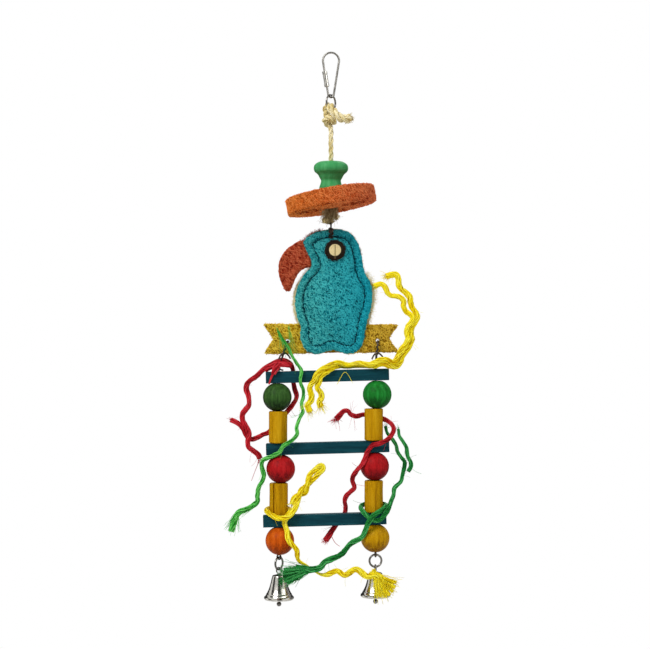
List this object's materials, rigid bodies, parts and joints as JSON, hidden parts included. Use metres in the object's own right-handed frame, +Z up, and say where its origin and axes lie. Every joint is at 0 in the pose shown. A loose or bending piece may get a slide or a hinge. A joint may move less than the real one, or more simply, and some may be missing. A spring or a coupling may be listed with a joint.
{
  "type": "hanging bird toy",
  "caption": "Hanging bird toy: a stuffed loofah parrot on a loofah perch under a rope, spool and loofah disc, with a wooden bead ladder, dyed sisal strands and bells.",
  "frame": {"origin": "inner top of the screw link's bow, where the toy hangs", "axes": "+Z up along the rope, -Y towards the viewer of the parrot's front, +X to the viewer's right"},
  "size_m": [0.1636, 0.0784, 0.4826],
  "materials": {
    "nickel": "bright nickel plate",
    "steel": "plain steel wire",
    "natural_sisal": "twisted undyed rope",
    "orange_loofah": "coarse dyed fibre",
    "teal_loofah": "coarse dyed fibre",
    "cream_loofah": "coarse undyed fibre",
    "brick_loofah": "coarse dyed fibre",
    "mustard_loofah": "coarse dyed fibre",
    "dark_felt": "matte felt",
    "deep_teal_wood": "satin stain",
    "olive_wood": "satin stain",
    "green_wood": "satin stain",
    "red_wood": "satin stain",
    "orange_wood": "satin stain",
    "yellow_wood": "satin stain",
    "red_sisal": "twisted dyed fibre",
    "green_sisal": "twisted dyed fibre",
    "dark_green_sisal": "twisted dyed fibre",
    "yellow_sisal": "twisted dyed fibre"
  },
  "bodies": {
    "link": {"pear_link": "nickel"},
    "nut": {"link_nut": "nickel"},
    "top_ring": {"top_ring": "steel"},
    "rope": {"hanging_rope": "natural_sisal"},
    "spool": {"spool_bead": "green_wood"},
    "disc": {"loofah_disc": "orange_loofah"},
    "head_ring": {"head_ring": "steel"},
    "parrot": {"parrot_front": "teal_loofah", "parrot_back": "cream_loofah", "beak": "brick_loofah", "eye_patch": "dark_felt", "eye_button": "cream_loofah", "perch": "mustard_loofah", "strand_yellow_tail": "yellow_sisal", "strand_yellow_tail_end": "yellow_sisal"},
    "ladder": {"hanger_wire_left": "steel", "hanger_wire_right": "steel", "rung_top": "deep_teal_wood", "rung_middle": "deep_teal_wood", "rung_bottom": "deep_teal_wood", "strand_red_upper": "red_sisal", "strand_green_left": "green_sisal", "strand_yellow_upper": "yellow_sisal", "strand_yellow_upper_ply": "yellow_sisal", "strand_red_right": "red_sisal", "strand_green_right": "dark_green_sisal", "strand_green_right_ply": "dark_green_sisal", "strand_yellow_lower": "yellow_sisal"},
    "ball_top_left": {"ball_top_left": "olive_wood"},
    "ball_middle_left": {"ball_middle_left": "red_wood"},
    "ball_bottom_left": {"ball_bottom_left": "orange_wood"},
    "ball_top_right": {"ball_top_right": "green_wood"},
    "ball_middle_right": {"ball_middle_right": "red_wood"},
    "ball_bottom_right": {"ball_bottom_right": "yellow_wood"},
    "dowel_upper_left": {"dowel_upper_left": "yellow_wood"},
    "dowel_lower_left": {"dowel_lower_left": "yellow_wood"},
    "dowel_upper_right": {"dowel_upper_right": "yellow_wood"},
    "dowel_lower_right": {"dowel_lower_right": "yellow_wood"},
    "bell_ring_left": {"bell_ring_left": "steel"},
    "bell_ring_right": {"bell_ring_right": "steel"},
    "bell_left": {"bell_left": "nickel", "bell_eye_left": "steel"},
    "bell_right": {"bell_right": "nickel", "bell_eye_right": "steel"},
    "clapper_left": {"clapper_left": "steel"},
    "clapper_right": {"clapper_right": "steel"}
  },
  "joints": [
    {"name": "nut_travel", "type": "slide", "parent": "link", "child": "nut", "axis": [-0.1559, 0, 0.9878], "range_m": [0, 0.007]},
    {"name": "top_ring_swing", "type": "hinge", "parent": "link", "child": "top_ring", "pos_m": [0, 0, -0.037], "axis": [1, 0, 0], "range_deg": [-25, 25]},
    {"name": "rope_sway", "type": "hinge", "parent": "top_ring", "child": "rope", "pos_m": [0, 0, -0.0493], "axis": [0, 1, 0], "range_deg": [-20, 20]},
    {"name": "spool_spin", "type": "hinge", "parent": "rope", "child": "spool", "pos_m": [0, 0, -0.1062], "axis": [0, 0, 1], "continuous": true},
    {"name": "disc_spin", "type": "hinge", "parent": "rope", "child": "disc", "pos_m": [0, 0, -0.12779], "axis": [-0.1736, 0.043, 0.9839], "continuous": true},
    {"name": "head_ring_swing", "type": "hinge", "parent": "rope", "child": "head_ring", "pos_m": [0, 0, -0.14574], "axis": [0, 1, 0], "range_deg": [-15, 15]},
    {"name": "parrot_swing", "type": "hinge", "parent": "head_ring", "child": "parrot", "pos_m": [0, 0, -0.15954], "axis": [0, 1, 0], "range_deg": [-15, 15]},
    {"name": "ladder_swing", "type": "hinge", "parent": "parrot", "child": "ladder", "pos_m": [0, 0, -0.24994], "axis": [1, 0, 0], "range_deg": [-15, 15]},
    {"name": "ball_top_left_spin", "type": "hinge", "parent": "ladder", "child": "ball_top_left", "pos_m": [-0.0467, 0, -0.29873], "axis": [0, 0, 1], "continuous": true},
    {"name": "ball_middle_left_spin", "type": "hinge", "parent": "ladder", "child": "ball_middle_left", "pos_m": [-0.0437, 0, -0.36113], "axis": [0, 0, 1], "continuous": true},
    {"name": "ball_bottom_left_spin", "type": "hinge", "parent": "ladder", "child": "ball_bottom_left", "pos_m": [-0.0445, 0, -0.42354], "axis": [0, 0, 1], "continuous": true},
    {"name": "ball_top_right_spin", "type": "hinge", "parent": "ladder", "child": "ball_top_right", "pos_m": [0.0402, 0, -0.29646], "axis": [0, 0, 1], "continuous": true},
    {"name": "ball_middle_right_spin", "type": "hinge", "parent": "ladder", "child": "ball_middle_right", "pos_m": [0.038, 0, -0.35886], "axis": [0, 0, 1], "continuous": true},
    {"name": "ball_bottom_right_spin", "type": "hinge", "parent": "ladder", "child": "ball_bottom_right", "pos_m": [0.0384, 0, -0.42127], "axis": [0, 0, 1], "continuous": true},
    {"name": "dowel_upper_left_spin", "type": "hinge", "parent": "ladder", "child": "dowel_upper_left", "pos_m": [-0.046, 0, -0.32473], "axis": [0, 0, 1], "continuous": true},
    {"name": "dowel_lower_left_spin", "type": "hinge", "parent": "ladder", "child": "dowel_lower_left", "pos_m": [-0.0455, 0, -0.38713], "axis": [0, 0, 1], "continuous": true},
    {"name": "dowel_upper_right_spin", "type": "hinge", "parent": "ladder", "child": "dowel_upper_right", "pos_m": [0.0372, 0, -0.32246], "axis": [0, 0, 1], "continuous": true},
    {"name": "dowel_lower_right_spin", "type": "hinge", "parent": "ladder", "child": "dowel_lower_right", "pos_m": [0.0372, 0, -0.38486], "axis": [0, 0, 1], "continuous": true},
    {"name": "bell_ring_swing_left", "type": "hinge", "parent": "ladder", "child": "bell_ring_left", "pos_m": [-0.0452, 0, -0.43804], "axis": [0, 1, 0], "range_deg": [-20, 20]},
    {"name": "bell_ring_swing_right", "type": "hinge", "parent": "ladder", "child": "bell_ring_right", "pos_m": [0.0387, 0, -0.43577], "axis": [0, 1, 0], "range_deg": [-20, 20]},
    {"name": "bell_swing_left", "type": "hinge", "parent": "bell_ring_left", "child": "bell_left", "pos_m": [-0.0452, 0, -0.44864], "axis": [0, 1, 0], "range_deg": [-25, 25]},
    {"name": "bell_swing_right", "type": "hinge", "parent": "bell_ring_right", "child": "bell_right", "pos_m": [0.0387, 0, -0.44637], "axis": [0, 1, 0], "range_deg": [-25, 25]},
    {"name": "clapper_swing_left", "type": "hinge", "parent": "bell_left", "child": "clapper_left", "pos_m": [-0.0452, 0, -0.4582], "axis": [1, 0, 0], "range_deg": [-25, 25]},
    {"name": "clapper_swing_right", "type": "hinge", "parent": "bell_right", "child": "clapper_right", "pos_m": [0.0387, 0, -0.4559], "axis": [1, 0, 0], "range_deg": [-25, 25]}
  ]
}
